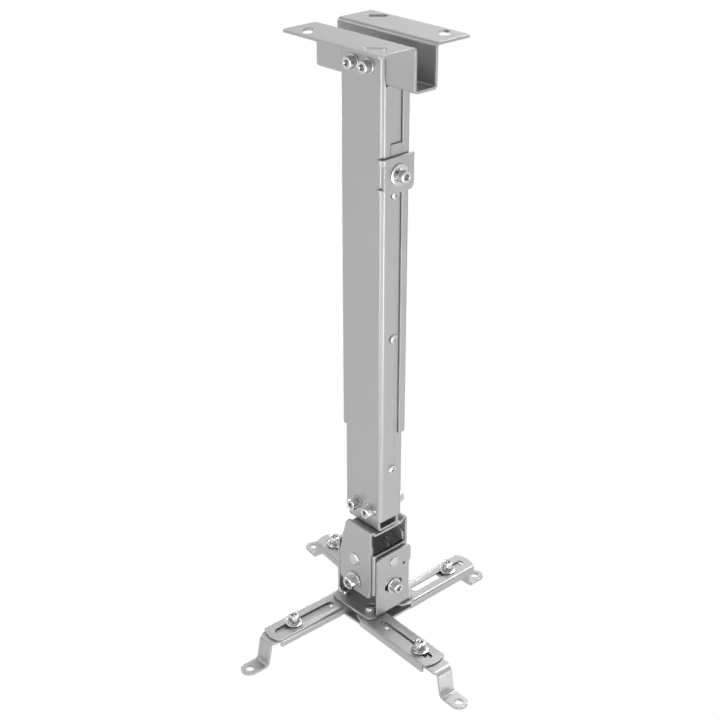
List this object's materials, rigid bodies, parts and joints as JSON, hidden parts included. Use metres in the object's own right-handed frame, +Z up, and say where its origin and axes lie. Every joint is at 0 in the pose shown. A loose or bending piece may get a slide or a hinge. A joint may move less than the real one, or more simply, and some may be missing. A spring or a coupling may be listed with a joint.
{
  "type": "projector ceiling mount",
  "caption": "Ceiling mount with a telescoping square column, a gimbal head that swivels, rolls and tilts, and slotted swinging arms with sliding feet that bolt to a projector.",
  "frame": {"origin": "middle of the ceiling bracket's top plane, where the mount meets the ceiling", "axes": "+Z up to the ceiling; X along the folded channel, the column's slot on the +X side; Y across the channel, -Y the front that the picture shows on its left"},
  "size_m": [0.2269, 0.2179, 0.4548],
  "materials": {
    "silver_paint": "satin silver paint",
    "zinc_fastener": "bright zinc plate",
    "pivot_steel": "plain steel rivets"
  },
  "bodies": {
    "ceiling_frame": {"ceiling_bracket": "silver_paint", "outer_column": "silver_paint", "bracket_washers": "zinc_fastener", "bracket_bolts": "zinc_fastener", "bracket_nuts": "zinc_fastener"},
    "drop_column": {"inner_column": "silver_paint", "guide_screws": "zinc_fastener", "slot_key": "silver_paint", "clamp_saddle": "silver_paint", "clamp_washer": "zinc_fastener", "clamp_spring_washer": "zinc_fastener", "clamp_bolt": "zinc_fastener", "clamp_nut": "zinc_fastener", "swivel_yoke": "silver_paint", "yoke_washers": "zinc_fastener", "yoke_spring_washers": "zinc_fastener", "yoke_bolts": "zinc_fastener", "yoke_nuts": "zinc_fastener", "swivel_stud": "pivot_steel", "swivel_washer": "zinc_fastener", "swivel_nut": "zinc_fastener"},
    "swivel_head": {"roll_yoke": "silver_paint", "roll_rivets": "pivot_steel"},
    "tilt_cradle": {"cradle": "silver_paint", "roll_lock_washers": "zinc_fastener", "roll_lock_bolts": "zinc_fastener", "roll_lock_nuts": "zinc_fastener", "tilt_lock_washers": "zinc_fastener", "tilt_lock_bolts": "zinc_fastener", "tilt_lock_nuts": "zinc_fastener"},
    "arm_base": {"base_bracket": "silver_paint", "tilt_rivets": "pivot_steel", "bottom_plate": "silver_paint", "corner_screws": "zinc_fastener", "corner_nuts": "zinc_fastener"},
    "front_arm_body": {"front_arm": "silver_paint"},
    "right_arm_body": {"right_arm": "silver_paint"},
    "back_arm_body": {"back_arm": "silver_paint"},
    "left_arm_body": {"left_arm": "silver_paint"},
    "front_foot_body": {"front_foot": "silver_paint", "front_foot_washer": "zinc_fastener", "front_foot_spring_washer": "zinc_fastener", "front_foot_bolt": "zinc_fastener", "front_foot_nut": "zinc_fastener"},
    "right_foot_body": {"right_foot": "silver_paint", "right_foot_washer": "zinc_fastener", "right_foot_spring_washer": "zinc_fastener", "right_foot_bolt": "zinc_fastener", "right_foot_nut": "zinc_fastener"},
    "back_foot_body": {"back_foot": "silver_paint", "back_foot_washer": "zinc_fastener", "back_foot_spring_washer": "zinc_fastener", "back_foot_bolt": "zinc_fastener", "back_foot_nut": "zinc_fastener"},
    "left_foot_body": {"left_foot": "silver_paint", "left_foot_washer": "zinc_fastener", "left_foot_spring_washer": "zinc_fastener", "left_foot_bolt": "zinc_fastener", "left_foot_nut": "zinc_fastener"}
  },
  "joints": [
    {"name": "drop_slide", "type": "slide", "parent": "ceiling_frame", "child": "drop_column", "axis": [0, 0, 1], "range_m": [-0.18, 0.001]},
    {"name": "head_swivel", "type": "hinge", "parent": "drop_column", "child": "swivel_head", "pos_m": [0, 0, -0.3618], "axis": [0, 0, 1], "range_deg": [-15, 15]},
    {"name": "head_roll", "type": "hinge", "parent": "swivel_head", "child": "tilt_cradle", "pos_m": [0, 0, -0.3887], "axis": [0, 1, 0], "range_deg": [-5, 5]},
    {"name": "head_tilt", "type": "hinge", "parent": "tilt_cradle", "child": "arm_base", "pos_m": [0, 0, -0.3887], "axis": [1, 0, 0], "range_deg": [-15, 15]},
    {"name": "front_arm_swing", "type": "hinge", "parent": "arm_base", "child": "front_arm_body", "pos_m": [-0.0145, -0.016, -0.4325], "axis": [0, 0, 1], "range_deg": [-32.8, 37.2]},
    {"name": "right_arm_swing", "type": "hinge", "parent": "arm_base", "child": "right_arm_body", "pos_m": [0.0145, -0.016, -0.4325], "axis": [0, 0, 1], "range_deg": [-32.2, 37.8]},
    {"name": "back_arm_swing", "type": "hinge", "parent": "arm_base", "child": "back_arm_body", "pos_m": [0.0145, 0.016, -0.4325], "axis": [0, 0, 1], "range_deg": [-34.4, 35.6]},
    {"name": "left_arm_swing", "type": "hinge", "parent": "arm_base", "child": "left_arm_body", "pos_m": [-0.0145, 0.016, -0.4325], "axis": [0, 0, 1], "range_deg": [-26.6, 43.4]},
    {"name": "front_foot_slide", "type": "slide", "parent": "front_arm_body", "child": "front_foot_body", "axis": [-0.0384, -0.9993, 0], "range_m": [-0.0025, 0.013]},
    {"name": "right_foot_slide", "type": "slide", "parent": "right_arm_body", "child": "right_foot_body", "axis": [0.9988, -0.0489, 0], "range_m": [-0.009, 0.008]},
    {"name": "back_foot_slide", "type": "slide", "parent": "back_arm_body", "child": "back_foot_body", "axis": [0.0105, 0.9999, 0], "range_m": [-0.03, 0.013]},
    {"name": "left_foot_slide", "type": "slide", "parent": "left_arm_body", "child": "left_foot_body", "axis": [-0.9893, 0.1461, 0], "range_m": [-0.037, 0.0055]}
  ]
}
